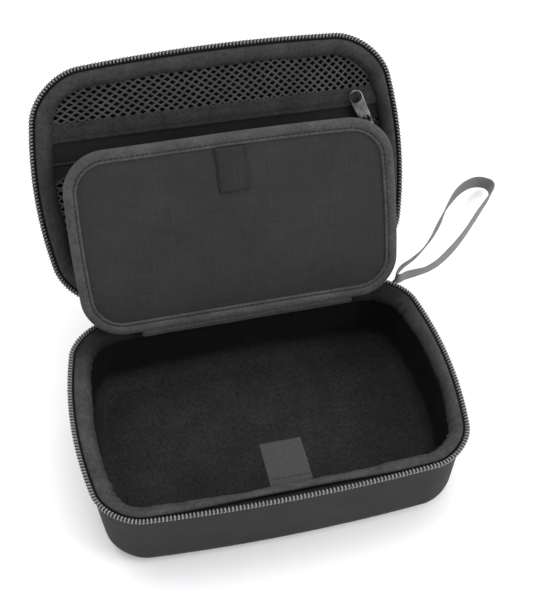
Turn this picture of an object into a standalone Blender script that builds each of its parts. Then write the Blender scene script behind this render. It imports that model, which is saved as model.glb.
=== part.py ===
"""A zipped carry case that stands open, with a padded divider, a mesh pocket and a wrist strap.

Sizes are in millimetres and are written to Blender in metres. The base stands on z = 0, centred
on x = y = 0, with its hinge at the back (+Y). The lid and the divider are built lying in their own
flat frames, and their pivot empties stand them up.
"""
import math

import bmesh
import bpy
from mathutils import Matrix, Vector

MM = 0.001

# Case
CASE_WIDTH = 230.0
CASE_DEPTH = 154.7
BASE_HEIGHT = 56.6
LID_HEIGHT = 32.0
BASE_CORNER = 22.0
LID_CORNER = 27.0
SIDE_BOW = 10.4
FRONT_BOW = 5.1
BASE_WALL = 5.0
LID_WALL = 4.0
LINING = 1.5
WALL_DRAFT = 2.7
BASE_EDGE_RADIUS = 11.6
LID_EDGE_RADIUS = 13.0
GAP = 0.35

# Rim, measured inwards from the zip's outer edge and down from the zip plane
COIL_DIAMETER = 2.6
FLANGE_MARGIN = 0.8
FACING_MARGIN = 1.3
COIL_CLEARANCE = 0.25
TAPE_THICKNESS = 0.8
TAPE_WIDTH = 6.2
FACING_WIDTH = 10.6
FACING_DROP = 6.0
FACING_THICKNESS = 2.2

# Lid hinge
LID_LEAN = 59.87
HINGE_SETBACK = 0.7
HINGE_TAPE_DROP = 15.0
HINGE_TAPE = 0.7
HINGE_TAPE_TRIM = 2.5

# Divider
DIVIDER_SIDE_CLEARANCE = 0.7
DIVIDER_END_CLEARANCE = 2.15
DIVIDER_CORNER = 24.0
DIVIDER_BOW = 2.4
DIVIDER_OFFSET = 1.1
DIVIDER_LEAN = 60.7
DIVIDER_BOARD = 2.4
DIVIDER_COVER = 1.0
BINDING_WIDTH = 7.5
BINDING_THICKNESS = 6.0
BINDING_LIP = 1.0
WEB_LENGTH = 2.6
WEB_THICKNESS = 1.2
STRIP_WIDTH = 134.0
STRIP_OFFSET = 3.0
STRIP_HEIGHT = 3.8
STRIP_REACH = 3.9
DIVIDER_AXIS_REACH = 5.6
DIVIDER_AXIS_DROP = 2.3
PATCH_WIDTH = 18.5
PATCH_LENGTH = 27.5
PATCH_THICKNESS = 0.8
PATCH_OFFSET = 1.9

# Pocket in the lid
POCKET_DEPTH = 7.0
POCKET_SKIN = 0.8
POCKET_ZIP_DROP = 59.9
POCKET_COIL = 2.2
POCKET_TAPE = 8.9
POCKET_BAND = 10.4
SLIDER_EDGE_DISTANCE = 5.4
PULL_TILT = 20.0

# Zip sliders and pulls
SLIDER_LENGTH = 10.0
SLIDER_WIDTH = 8.0
SLIDER_PLATE = 1.6
CROWN_WIDTH = 2.0
CROWN_BAR = 0.9
CROWN_GAP = 2.6
CROWN_SPAN = 4.3
PULL_LENGTH = 22.0
PULL_WIDTH = 9.3
PULL_FOOT_WIDTH = 7.9
PULL_PLAY = 0.1
PULL_THICKNESS = 1.5
PULL_HOLE = 7.0
PULL_SLOT = 3.3
PULL_SLOT_WIDTH = 4.2
MAIN_SLIDER_DROP = 7.0

# Hook tab
TAB_WIDTH = 24.5
TAB_LENGTH = 30.0
TAB_THICKNESS = 1.6
TAB_OFFSET = 1.5
TAB_DROP = 8.0

# Wrist strap
STRAP_LENGTH = 168.0
STRAP_LOOP = 24.0
STRAP_RIBBON = 9.0
STRAP_THICKNESS = 1.2
STRAP_AZIMUTH = 46.4
STRAP_SLOPE = -14.6
STRAP_DROP = 7.6
STRAP_STANDOFF = 7.0
ROOT_RADIUS = 1.6
ANCHOR_WIDTH = 4.0
ANCHOR_CLEARANCE = 1.2
ANCHOR_HEIGHT = 6.0

CORNER_STEPS = 6
SIDE_STEPS = 5
STRAND_STEPS = 9
BEVEL_STEPS = 4

HINGE_Y = CASE_DEPTH / 2 + HINGE_SETBACK
FLANGE = COIL_DIAMETER + FLANGE_MARGIN
FACING_START = COIL_DIAMETER + FACING_MARGIN
FACING_EDGE = FACING_START + FACING_WIDTH
TAPE_START = FLANGE - GAP
TAPE_END = TAPE_START + TAPE_WIDTH
DIVIDER_WIDTH = CASE_WIDTH - 2 * (FACING_EDGE + DIVIDER_SIDE_CLEARANCE)
DIVIDER_LENGTH = (CASE_DEPTH - 2 * FACING_EDGE - DIVIDER_AXIS_REACH - WEB_LENGTH - GAP
                  - DIVIDER_END_CLEARANCE)
POCKET_ZIP = CASE_DEPTH + HINGE_SETBACK - POCKET_ZIP_DROP


def clear_scene():
    for old in list(bpy.data.objects):
        bpy.data.objects.remove(old, do_unlink=True)


def collection(name):
    made = bpy.data.collections.new(name)
    bpy.context.scene.collection.children.link(made)
    return made


def material(name, grey, roughness, metallic=0.0):
    made = bpy.data.materials.new(name)
    made.use_nodes = True
    shader = made.node_tree.nodes["Principled BSDF"]
    shader.inputs["Base Color"].default_value = (grey, grey, grey * 1.02, 1.0)
    shader.inputs["Roughness"].default_value = roughness
    shader.inputs["Metallic"].default_value = metallic
    made.diffuse_color = (grey, grey, grey, 1.0)
    return made


clear_scene()
PARTS = collection("carry_case")
CUTTERS = collection("cutters")
SHELL_CLOTH = material("shell_cloth", 0.045, 0.75)
LINING_KNIT = material("lining_knit", 0.012, 0.95)
FACING_KNIT = material("facing_knit", 0.06, 0.85)
ZIP_TAPE = material("zip_tape", 0.02, 0.85)
ZIP_COIL = material("zip_coil", 0.25, 0.35)
DIVIDER_CLOTH = material("divider_cloth", 0.035, 0.8)
BINDING_CLOTH = material("binding_cloth", 0.11, 0.8)
BOARD_PLASTIC = material("board_plastic", 0.08, 0.6)
POCKET_MESH = material("pocket_mesh", 0.05, 0.8)
WEBBING = material("webbing", 0.12, 0.8)
GUNMETAL = material("gunmetal", 0.35, 0.3, 1.0)


def finish(shape, material_used, parent=None):
    """Put a new object in the parts collection, with its material and its pivot."""
    for home in list(shape.users_collection):
        home.objects.unlink(shape)
    PARTS.objects.link(shape)
    shape.data.materials.clear()
    shape.data.materials.append(material_used)
    shape.parent = parent
    return shape


def pivot(name, place, rotation=(0, 0, 0), parent=None):
    """An empty on a joint's axis; its rotation is in degrees."""
    made = bpy.data.objects.new(name, None)
    PARTS.objects.link(made)
    made.parent = parent
    made.location = Vector(place) * MM
    made.rotation_euler = [math.radians(angle) for angle in rotation]
    made.empty_display_size = 0.02
    return made


def outline(width, depth, radius, bow_x, bow_y):
    """A bowed rectangle with round corners, anticlockwise from its back left corner."""
    half_x = width / 2 - bow_x
    half_y = depth / 2 - bow_y
    corners = ((-1, 1, 90), (-1, -1, 180), (1, -1, 270), (1, 1, 0))
    arcs = []
    for sign_x, sign_y, start in corners:
        angles = [math.radians(start + 90 * step / CORNER_STEPS) for step in range(CORNER_STEPS + 1)]
        centre = Vector((sign_x * (half_x - radius), sign_y * (half_y - radius)))
        arcs.append([centre + radius * Vector((math.cos(a), math.sin(a))) for a in angles])
    points = []
    for arc, following in zip(arcs, arcs[1:] + arcs[:1]):
        points += arc
        shares = [step / SIDE_STEPS for step in range(1, SIDE_STEPS)]
        points += [arc[-1].lerp(following[0], share) for share in shares]
    bowed = []
    for point in points:
        rise_x = bow_x * (1 - (point.y / half_y) ** 2) / half_x
        rise_y = bow_y * (1 - (point.x / half_x) ** 2) / half_y
        bowed.append(Vector((point.x * (1 + rise_x), point.y * (1 + rise_y))))
    return bowed


def three_sides(points):
    """The outline without its back side."""
    return points[:len(points) - SIDE_STEPS + 1]


def back_side(points):
    """The back side alone, stopping short of the zip's ends."""
    side = points[-SIDE_STEPS:] + points[:1]
    trim = HINGE_TAPE_TRIM / (side[0] - side[1]).length
    return [side[0].lerp(side[1], trim)] + side[1:-1] + [side[-1].lerp(side[-2], trim)]


def mirrored(points):
    """The same outline with its hinge side at -Y, as the lid has it in its own frame."""
    return [Vector((point.x, -point.y)) for point in reversed(points)]


def shifted(points, rise):
    return [Vector((point.x, point.y + rise)) for point in points]


def clipped(points, low, high, axis=1):
    """The part of an outline between two values of x (axis 0) or y (axis 1)."""
    for level, keep in ((low, 1), (high, -1)):
        kept = []
        for here, after in zip(points, points[1:] + points[:1]):
            inside = keep * (here[axis] - level) >= 0
            next_inside = keep * (after[axis] - level) >= 0
            if inside:
                kept.append(here)
            if inside != next_inside:
                kept.append(here.lerp(after, (level - here[axis]) / (after[axis] - here[axis])))
        points = kept
    return points


def curve_object(name, points, closed, dimensions="3D"):
    data = bpy.data.curves.new(name, "CURVE")
    data.dimensions = dimensions
    spline = data.splines.new("POLY")
    spline.points.add(len(points) - 1)
    for control, point in zip(spline.points, points):
        place = Vector(point).to_3d() * MM
        control.co = (*place, 1)
    spline.use_cyclic_u = closed
    return bpy.data.objects.new(name, data)


def sweep(name, path, profile, closed, material_used, parent=None, level=0.0):
    """Run a profile of (inward, up) points round a path drawn anticlockwise."""
    corners = [Vector((-inward, up)) for inward, up in profile]
    turns = sum(a.x * b.y - a.y * b.x for a, b in zip(corners, corners[1:] + corners[:1]))
    if turns > 0:
        corners.reverse()
    section = curve_object(name + "_profile", corners, True)
    section.data.dimensions = "2D"
    section.data.fill_mode = "NONE"
    section.hide_render = True
    section.display_type = "WIRE"
    CUTTERS.objects.link(section)
    shape = curve_object(name, path, closed)
    shape.data.twist_mode = "Z_UP"
    shape.data.bevel_mode = "OBJECT"
    shape.data.bevel_object = section
    shape.data.use_fill_caps = not closed
    shape.location.z = level * MM
    return finish(shape, material_used, parent)


def cord(name, path, diameter, closed, material_used, parent=None, level=0.0):
    shape = curve_object(name, path, closed)
    shape.data.bevel_depth = diameter / 2 * MM
    shape.data.bevel_resolution = 2
    shape.data.use_fill_caps = not closed
    shape.location.z = level * MM
    return finish(shape, material_used, parent)


def plate(name, outlines, thickness, material_used, parent=None, place=(0, 0, 0)):
    """A flat outline, with its holes, standing up from its place by a thickness."""
    shape = curve_object(name, outlines[0], True, "2D")
    for hole in outlines[1:]:
        spline = shape.data.splines.new("POLY")
        spline.points.add(len(hole) - 1)
        for control, point in zip(spline.points, hole):
            control.co = (*(point.to_3d() * MM), 1)
        spline.use_cyclic_u = True
    shape.data.fill_mode = "BOTH"
    shape.data.extrude = thickness / 2 * MM
    shape.location = (Vector(place) + Vector((0, 0, thickness / 2))) * MM
    return finish(shape, material_used, parent)


def block(name, size, centre, material_used, parent=None, bevel=0.0):
    bpy.ops.mesh.primitive_cube_add(size=1)
    shape = bpy.context.object
    shape.name = name
    shape.data.name = name
    shape.data.transform(Matrix.Diagonal((*(Vector(size) * MM), 1)))
    shape.location = Vector(centre) * MM
    if bevel:
        add_bevel(shape, bevel, 2)
    return finish(shape, material_used, parent)


def add_bevel(shape, width, segments, angle=30.0):
    bevel = shape.modifiers.new("Bevel", "BEVEL")
    bevel.width = width * MM
    bevel.segments = segments
    bevel.limit_method = "ANGLE"
    bevel.angle_limit = math.radians(angle)
    bevel.loop_slide = False


def pan(name, mouth, floor, mouth_level, floor_level, edge_radius, wall, material_used, parent=None):
    """A moulded dish: a floor and a flared wall, rounded where they meet and thickened inwards."""
    build = bmesh.new()
    low = [build.verts.new((*(point * MM), floor_level * MM)) for point in floor]
    high = [build.verts.new((*(point * MM), mouth_level * MM)) for point in mouth]
    facing = 1 if mouth_level > floor_level else -1
    build.faces.new(low[::-facing])
    for index in range(len(low)):
        after = (index + 1) % len(low)
        build.faces.new((low[index], low[after], high[after], high[index])[::facing])
    data = bpy.data.meshes.new(name)
    build.to_mesh(data)
    build.free()
    shape = bpy.data.objects.new(name, data)
    add_bevel(shape, edge_radius, BEVEL_STEPS, angle=60.0)
    solidify = shape.modifiers.new("Solidify", "SOLIDIFY")
    solidify.thickness = wall * MM
    solidify.offset = -1
    solidify.use_even_offset = True
    return finish(shape, material_used, parent)


def inset(points, distance):
    """Every point of an anticlockwise outline moved inwards, as a swept profile moves."""
    moved = []
    for before, here, after in zip(points[-1:] + points[:-1], points, points[1:] + points[:1]):
        along = (here - before).normalized() + (after - here).normalized()
        moved.append(here + distance * Vector((-along.y, along.x)).normalized())
    return moved


def case_outline(corner, distance=0.0):
    """The zip's outer edge seen from above, moved inwards by a distance."""
    return inset(outline(CASE_WIDTH, CASE_DEPTH, corner, SIDE_BOW, FRONT_BOW), distance)


def facing_top(inward):
    """Height of the facing's sloping top, below the zip plane, at a distance inwards."""
    share = (inward - FACING_START) / FACING_WIDTH
    return -0.6 - (FACING_DROP - 0.6) * max(share, 0.0) ** 1.5


def facing_profile():
    shares = (0.08, 0.35, 0.65, 0.88)
    inward_steps = [FACING_START + FACING_WIDTH * share for share in shares]
    top = [(inward, facing_top(inward)) for inward in inward_steps]
    under = [(inward, height - FACING_THICKNESS) for inward, height in top[-2::-1]]
    lip = FACING_EDGE - 3.0
    edge = [
        (FACING_EDGE, -FACING_DROP),
        (FACING_EDGE, -FACING_DROP - 2.5),
        (FACING_EDGE - 1.0, -FACING_DROP - 3.5),
        (lip, -FACING_DROP - 3.5),
        (lip, facing_top(lip) - FACING_THICKNESS),
    ]
    return top + edge + under


def tape_profile():
    """The zip tape, sewn under the facing."""
    top = [(inward, facing_top(inward) - FACING_THICKNESS - GAP) for inward in (TAPE_START, TAPE_END)]
    return top + [(inward, height - TAPE_THICKNESS) for inward, height in reversed(top)]


def shell_top(inward):
    """Where a wall under the tape and the facing ends."""
    return facing_top(inward) - FACING_THICKNESS - TAPE_THICKNESS - 2 * GAP


def case_half(prefix, corner, height, wall, edge_radius, on_base, parent):
    """Shell, lining, facing, zip tape, zip coil and hinge tape of one half of the case.

    The base half is built in world axes. The lid half is built in its pivot's frame, with its zip
    plane at z = 0, its opening towards +Z and its hinge side towards -Y.
    """
    rim_level = BASE_HEIGHT if on_base else 0.0
    floor_level = rim_level - height

    def placed(points):
        return points if on_base else shifted(mirrored(points), HINGE_Y)

    inner = FLANGE + wall + GAP
    shell_level = rim_level + shell_top(max(FLANGE + wall, TAPE_END))
    pan(prefix + "_shell", placed(case_outline(corner, FLANGE)),
        placed(case_outline(corner, FLANGE + WALL_DRAFT)), shell_level, floor_level, edge_radius,
        wall, SHELL_CLOTH, parent)
    pan(prefix + "_lining", placed(case_outline(corner, inner)),
        placed(case_outline(corner, inner + WALL_DRAFT)), rim_level + shell_top(inner + LINING),
        floor_level + wall + GAP, edge_radius - wall, LINING, LINING_KNIT, parent)
    rim = case_outline(corner)
    sweep(prefix + "_rim_facing", placed(rim), facing_profile(), True, FACING_KNIT, parent, rim_level)
    sweep(prefix + "_zip_tape", placed(three_sides(rim)), tape_profile(), False, ZIP_TAPE, parent,
          rim_level)
    coil_line = placed(three_sides(case_outline(corner, COIL_DIAMETER / 2)))
    cord(prefix + "_zip_coil", coil_line, COIL_DIAMETER, False, ZIP_COIL, parent,
         rim_level - COIL_DIAMETER / 2 - COIL_CLEARANCE)
    outer = FLANGE - GAP
    hinge_profile = rectangle(outer - HINGE_TAPE, outer, -HINGE_TAPE_DROP, -GAP)
    sweep(prefix + "_hinge_tape", placed(back_side(rim)), hinge_profile, False, ZIP_TAPE, parent,
          rim_level)


def rectangle(left, right, low, high):
    return [Vector((left, low)), Vector((right, low)), Vector((right, high)), Vector((left, high))]


def circle(centre, radius, steps=16, start=0.0, sweep_angle=360.0):
    """Points of a circle, or of an arc with both of its ends."""
    whole = sweep_angle == 360.0
    count = steps if whole else steps + 1
    angles = [math.radians(start + sweep_angle * step / steps) for step in range(count)]
    return [Vector(centre) + radius * Vector((math.cos(a), math.sin(a))) for a in angles]


def zip_slider(prefix, place, rotation, parent):
    """A slider with its crown and its pull. The pull lies along +Y of the slider's frame."""
    seat = pivot(prefix + "_slider_pivot", place, rotation, parent)
    nose = SLIDER_WIDTH / 2
    body = rectangle(-nose, nose, -SLIDER_LENGTH / 2, SLIDER_LENGTH / 2 - nose)[:2]
    body += circle((0, SLIDER_LENGTH / 2 - nose), nose, 8, 0.0, 180.0)
    plate(prefix + "_slider", [body], SLIDER_PLATE, GUNMETAL, seat)
    foot = SLIDER_PLATE + GAP
    roof = SLIDER_PLATE + CROWN_GAP
    half = CROWN_SPAN / 2
    arch = [
        Vector((-half - CROWN_BAR, foot)), Vector((-half, foot)), Vector((-half, roof)),
        Vector((half, roof)), Vector((half, foot)), Vector((half + CROWN_BAR, foot)),
        Vector((half + CROWN_BAR, roof + CROWN_BAR / 2)), Vector((half, roof + CROWN_BAR)),
        Vector((-half, roof + CROWN_BAR)), Vector((-half - CROWN_BAR, roof + CROWN_BAR / 2)),
    ]
    crown = plate(prefix + "_slider_crown", [arch], CROWN_WIDTH, GUNMETAL, seat)
    crown.rotation_euler = (math.radians(90), 0, math.radians(90))
    crown.location = (0, 0, 0)
    axis = pivot(prefix + "_pull_pivot", (0, 0, SLIDER_PLATE + CROWN_GAP / 2 + PULL_PLAY), parent=seat)
    round_end = PULL_WIDTH / 2
    bar = PULL_THICKNESS / 2
    shape = [Vector((-PULL_FOOT_WIDTH / 2, -bar)), Vector((PULL_FOOT_WIDTH / 2, -bar))]
    shape += circle((0, PULL_LENGTH - round_end), round_end, 12, 0.0, 180.0)
    hole = circle((0, PULL_LENGTH - round_end), PULL_HOLE / 2, 16)
    slot = rectangle(-PULL_SLOT_WIDTH / 2, PULL_SLOT_WIDTH / 2, bar, bar + PULL_SLOT)
    plate(prefix + "_pull", [shape, hole, slot], PULL_THICKNESS, GUNMETAL, axis, (0, 0, -bar))


def lid_pocket(parent):
    """Mesh panels, band, tapes and zip across the lid's opening."""
    opening = shifted(mirrored(case_outline(LID_CORNER, FACING_EDGE + GAP)), HINGE_Y)
    floor = -POCKET_DEPTH - POCKET_SKIN
    tape_low = POCKET_ZIP - POCKET_COIL / 2 - GAP - POCKET_TAPE
    tape_high = POCKET_ZIP + POCKET_COIL / 2 + GAP
    band_low = tape_high + POCKET_TAPE + GAP
    band_high = band_low + POCKET_BAND
    strips = (
        ("pocket_mesh_lower", 0.0, tape_low - GAP, POCKET_MESH),
        ("pocket_tape_lower", tape_low, tape_low + POCKET_TAPE, ZIP_TAPE),
        ("pocket_tape_upper", tape_high, tape_high + POCKET_TAPE, ZIP_TAPE),
        ("pocket_band", band_low, band_high, FACING_KNIT),
        ("pocket_mesh_upper", band_high + GAP, 2 * CASE_DEPTH, POCKET_MESH),
    )
    for name, low, high, cloth in strips:
        plate(name, [clipped(opening, low, high)], POCKET_SKIN, cloth, parent, (0, 0, floor))
    ends = [point.x for point in clipped(opening, POCKET_ZIP - 0.1, POCKET_ZIP + 0.1)]
    coil_line = [Vector((min(ends) + GAP, POCKET_ZIP)), Vector((max(ends) - GAP, POCKET_ZIP))]
    cord("pocket_coil", coil_line, POCKET_COIL, False, ZIP_COIL, parent, floor + POCKET_SKIN / 2)
    slider_place = (max(ends) - SLIDER_EDGE_DISTANCE, POCKET_ZIP,
                    floor + POCKET_SKIN / 2 + POCKET_COIL / 2 + GAP)
    zip_slider("pocket", slider_place, (0, 0, PULL_TILT), parent)


def divider(parent):
    """The padded divider: a board between two covers, bound all round."""
    centre_y = WEB_LENGTH + GAP + DIVIDER_LENGTH / 2

    def placed(distance):
        shape = outline(DIVIDER_WIDTH, DIVIDER_LENGTH, DIVIDER_CORNER, DIVIDER_BOW, 0.0)
        return [point + Vector((DIVIDER_OFFSET, centre_y)) for point in inset(shape, distance)]

    half = BINDING_THICKNESS / 2
    inner = BINDING_WIDTH - BINDING_LIP
    edge = circle((half, 0), half, 4, 90.0, 180.0)
    edge += [Vector((inner, -half)), Vector((BINDING_WIDTH, 0)), Vector((inner, half))]
    sweep("divider_binding", placed(0.0), edge, True, BINDING_CLOTH, parent)
    inside = placed(BINDING_WIDTH + GAP)
    cover_level = DIVIDER_BOARD / 2 + GAP
    plate("divider_board", [inside], DIVIDER_BOARD, BOARD_PLASTIC, parent, (0, 0, -DIVIDER_BOARD / 2))
    plate("divider_cover_front", [inside], DIVIDER_COVER, DIVIDER_CLOTH, parent, (0, 0, cover_level))
    plate("divider_cover_back", [inside], DIVIDER_COVER, DIVIDER_CLOTH, parent,
          (0, 0, -cover_level - DIVIDER_COVER))
    patch_top = WEB_LENGTH + DIVIDER_LENGTH - BINDING_WIDTH - GAP
    patch_x = DIVIDER_OFFSET + PATCH_OFFSET
    patch = rectangle(patch_x - PATCH_WIDTH / 2, patch_x + PATCH_WIDTH / 2,
                      patch_top - PATCH_LENGTH, patch_top)
    plate("divider_patch", [patch], PATCH_THICKNESS, WEBBING, parent,
          (0, 0, cover_level + DIVIDER_COVER + GAP))
    web = rectangle(STRIP_OFFSET - STRIP_WIDTH / 2, STRIP_OFFSET + STRIP_WIDTH / 2,
                    -WEB_THICKNESS / 2, WEB_LENGTH)
    plate("divider_hinge_web", [web], WEB_THICKNESS, BINDING_CLOTH, parent, (0, 0, -WEB_THICKNESS / 2))


def wrist_strap():
    """A ribbon loop on a sewn anchor at the back right corner of the base."""
    corner_point = three_sides(case_outline(BASE_CORNER))[-1 - CORNER_STEPS // 2]
    azimuth = math.radians(STRAP_AZIMUTH)
    direction = Vector((math.cos(azimuth), math.sin(azimuth)))
    root = corner_point + STRAP_STANDOFF * direction
    level = BASE_HEIGHT - STRAP_DROP
    outer_end = -ROOT_RADIUS - STRAP_THICKNESS - GAP
    inner_end = -STRAP_STANDOFF - FLANGE + ANCHOR_CLEARANCE
    anchor_pivot = pivot("strap_anchor_pivot", (*root, level), (0, 0, STRAP_AZIMUTH))
    block("strap_anchor", (outer_end - inner_end, ANCHOR_WIDTH, ANCHOR_HEIGHT),
          ((outer_end + inner_end) / 2, 0, 0), WEBBING, anchor_pivot, 0.6)
    swing = pivot("strap_pivot", (*root, level), (0, -STRAP_SLOPE, STRAP_AZIMUTH))
    radius = STRAP_LOOP / 2
    end = STRAP_LENGTH - radius
    loop = circle((end, 0), radius, 10, -90.0, 180.0)
    shares = [step / STRAND_STEPS for step in range(1, STRAND_STEPS)]
    strand = []
    for share in shares:
        ease = share * share * (3 - 2 * share)
        strand.append(Vector((end * (1 - share), radius + (ROOT_RADIUS - radius) * ease)))
    loop += strand
    loop += circle((0, 0), ROOT_RADIUS, 4, 90.0, 180.0)
    loop += [Vector((point.x, -point.y)) for point in reversed(strand)]
    ribbon = rectangle(-STRAP_THICKNESS / 2, STRAP_THICKNESS / 2, -STRAP_RIBBON / 2, STRAP_RIBBON / 2)
    sweep("wrist_strap", loop, ribbon, True, WEBBING, swing)


def base_fittings():
    """What is fixed to the base: the divider's hinge strip, the hook tab and the zip's sliders."""
    facing_y = CASE_DEPTH / 2 - FACING_EDGE - GAP
    strip = clipped(case_outline(BASE_CORNER, FACING_EDGE + GAP), facing_y - STRIP_REACH, CASE_DEPTH)
    strip = clipped(strip, STRIP_OFFSET - STRIP_WIDTH / 2, STRIP_OFFSET + STRIP_WIDTH / 2, axis=0)
    plate("divider_hinge_strip", [strip], STRIP_HEIGHT, BINDING_CLOTH, None,
          (0, 0, BASE_HEIGHT - DIVIDER_AXIS_DROP - STRIP_HEIGHT))
    tab_axis = pivot("tab_pivot", (TAB_OFFSET, -facing_y + TAB_THICKNESS / 2,
                                   BASE_HEIGHT - TAB_DROP - TAB_THICKNESS / 2))
    block("hook_tab", (TAB_WIDTH, TAB_LENGTH, TAB_THICKNESS),
          (0, (TAB_LENGTH - TAB_THICKNESS) / 2, 0), WEBBING, tab_axis)
    coil_end = CASE_WIDTH / 2 - SIDE_BOW - BASE_CORNER
    for side, name in ((-1, "left"), (1, "right")):
        place = (side * coil_end, CASE_DEPTH / 2 + GAP, BASE_HEIGHT - MAIN_SLIDER_DROP)
        zip_slider(name, place, (-90, 0, 0), None)


case_half("base", BASE_CORNER, BASE_HEIGHT, BASE_WALL, BASE_EDGE_RADIUS, True, None)
base_fittings()
LID_PIVOT = pivot("lid_pivot", (0, HINGE_Y, BASE_HEIGHT), (LID_LEAN, 0, 0))
case_half("lid", LID_CORNER, LID_HEIGHT, LID_WALL, LID_EDGE_RADIUS, False, LID_PIVOT)
lid_pocket(LID_PIVOT)
DIVIDER_PIVOT = pivot(
    "divider_pivot",
    (0, CASE_DEPTH / 2 - FACING_EDGE - DIVIDER_AXIS_REACH, BASE_HEIGHT - DIVIDER_AXIS_DROP),
    (DIVIDER_LEAN, 0, 0),
)
divider(DIVIDER_PIVOT)
wrist_strap()
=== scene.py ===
"""Looks of the zipped carry case: fabrics, zips, net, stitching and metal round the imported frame.

Every length is in millimetres until it becomes a mesh. Rim coordinates are x across, y towards the
hinge and z up out of an opening, with z = 0 on the zip plane, and both halves of the case use them.
"""
import math

import bmesh
import bpy
import numpy as np
from mathutils import Matrix, Vector


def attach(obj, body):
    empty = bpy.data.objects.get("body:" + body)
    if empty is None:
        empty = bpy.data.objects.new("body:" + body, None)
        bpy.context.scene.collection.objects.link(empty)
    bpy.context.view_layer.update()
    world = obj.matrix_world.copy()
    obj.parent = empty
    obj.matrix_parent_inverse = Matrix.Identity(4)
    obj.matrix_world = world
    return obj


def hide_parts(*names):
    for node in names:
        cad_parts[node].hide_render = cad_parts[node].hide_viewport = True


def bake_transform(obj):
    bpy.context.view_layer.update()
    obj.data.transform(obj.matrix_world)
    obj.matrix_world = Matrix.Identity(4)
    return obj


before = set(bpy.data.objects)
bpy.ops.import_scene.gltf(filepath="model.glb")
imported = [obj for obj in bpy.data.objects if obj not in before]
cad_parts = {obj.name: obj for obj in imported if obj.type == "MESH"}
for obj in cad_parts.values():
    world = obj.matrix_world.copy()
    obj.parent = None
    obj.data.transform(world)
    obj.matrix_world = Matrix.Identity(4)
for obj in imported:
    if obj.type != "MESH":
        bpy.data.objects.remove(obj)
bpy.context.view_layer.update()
MM = 0.001

# The case, as the CAD has it
CASE_WIDTH, CASE_DEPTH = 230.0, 154.7
BASE_HEIGHT, LID_HEIGHT = 56.6, 32.0
BASE_CORNER, LID_CORNER = 22.0, 27.0
SIDE_BOW, FRONT_BOW = 10.4, 5.1
FLANGE, FACING_START, FACING_EDGE = 3.4, 3.9, 14.5
COIL_DIAMETER, COIL_CLEARANCE = 2.6, 0.25
WALL_DRAFT, SHELL_THICKNESS, CORD_RADIUS = 2.7, 1.8, 0.86
HINGE_Y = CASE_DEPTH / 2 + 0.7
DIVIDER_WIDTH = CASE_WIDTH - 2 * (FACING_EDGE + 0.7)
DIVIDER_LENGTH, DIVIDER_FOOT = 115.0, 2.95
DIVIDER_CORNER, DIVIDER_BOW, DIVIDER_OFFSET = 24.0, 2.4, 1.1
DIVIDER_Y = CASE_DEPTH / 2 - FACING_EDGE - 5.6
DIVIDER_Z = BASE_HEIGHT - 2.3
POCKET_LEVEL = -7.4
POCKET_ZIP = 95.5
PULL_LENGTH, PULL_WIDTH, PULL_HOLE = 22.0, 9.3, 7.0
LID_LEAN, DIVIDER_LEAN = 59.87, 60.7

# Points along the outlines, and how fast the divider's right side turns forward, in rad / mm2
RIM_POINTS, DIVIDER_POINTS, CORNER_STEPS, SIDE_STEPS = 420, 700, 24, 60
TWIST = 0.0000102


# ---------------------------------------- frames
def axes(origin, ex, ey, ez):
    made = np.eye(4)
    made[:3, 0], made[:3, 1], made[:3, 2], made[:3, 3] = ex, ey, ez, origin
    return made


def leaning(origin, lean):
    c, s = math.cos(math.radians(lean)), math.sin(math.radians(lean))
    return axes(origin, (1, 0, 0), (0, c, s), (0, -s, c))


def to_world(matrix, points):
    return np.asarray(points, float) @ matrix[:3, :3].T + matrix[:3, 3]


LID = leaning((0, HINGE_Y, BASE_HEIGHT), LID_LEAN)
DIVIDER = leaning((0, DIVIDER_Y, DIVIDER_Z), DIVIDER_LEAN)


def base_at(points):
    return np.asarray(points, float) + (0, 0, BASE_HEIGHT)


def lid_at(points):
    """Rim coordinates of the lid, whose hinge side is mirrored, in the world."""
    p = np.array(points, float)
    p[..., 1] = HINGE_Y - p[..., 1]
    return to_world(LID, p)


def lid_flat(points):
    return to_world(LID, points)


def in_place(points):
    return points


def divider_at(points):
    """The divider's own frame; its right side leans forward a little, as soft foam does."""
    p = np.array(points, float)
    turn = -TWIST * np.clip(p[..., 0], 0, None) ** 2
    y, z = p[..., 1].copy(), p[..., 2].copy()
    p[..., 1] = y * np.cos(turn) + z * np.sin(turn)
    p[..., 2] = -y * np.sin(turn) + z * np.cos(turn)
    return to_world(DIVIDER, p)


# ---------------------------------------- outlines
def outline(width, depth, radius, bow_x, bow_y):
    """The CAD's bowed rectangle, anticlockwise from its back left corner."""
    half_x, half_y = width / 2 - bow_x, depth / 2 - bow_y
    arcs = []
    for sign_x, sign_y, start in ((-1, 1, 90), (-1, -1, 180), (1, -1, 270), (1, 1, 0)):
        a = np.radians(start + 90 * np.arange(CORNER_STEPS + 1) / CORNER_STEPS)
        centre = np.array([sign_x * (half_x - radius), sign_y * (half_y - radius)])
        arcs.append(centre + radius * np.c_[np.cos(a), np.sin(a)])
    points = []
    for arc, following in zip(arcs, arcs[1:] + arcs[:1]):
        share = (np.arange(1, SIDE_STEPS) / SIDE_STEPS)[:, None]
        points += [arc, arc[-1] * (1 - share) + following[0] * share]
    p = np.concatenate(points)
    rise_x = bow_x * (1 - (p[:, 1] / half_y) ** 2) / half_x
    rise_y = bow_y * (1 - (p[:, 0] / half_x) ** 2) / half_y
    return p * np.c_[1 + rise_x, 1 + rise_y]


def run_of(p):
    """How far along a path each of its points is."""
    return np.concatenate([[0], np.cumsum(np.linalg.norm(np.diff(p, axis=0), axis=1))])


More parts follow.
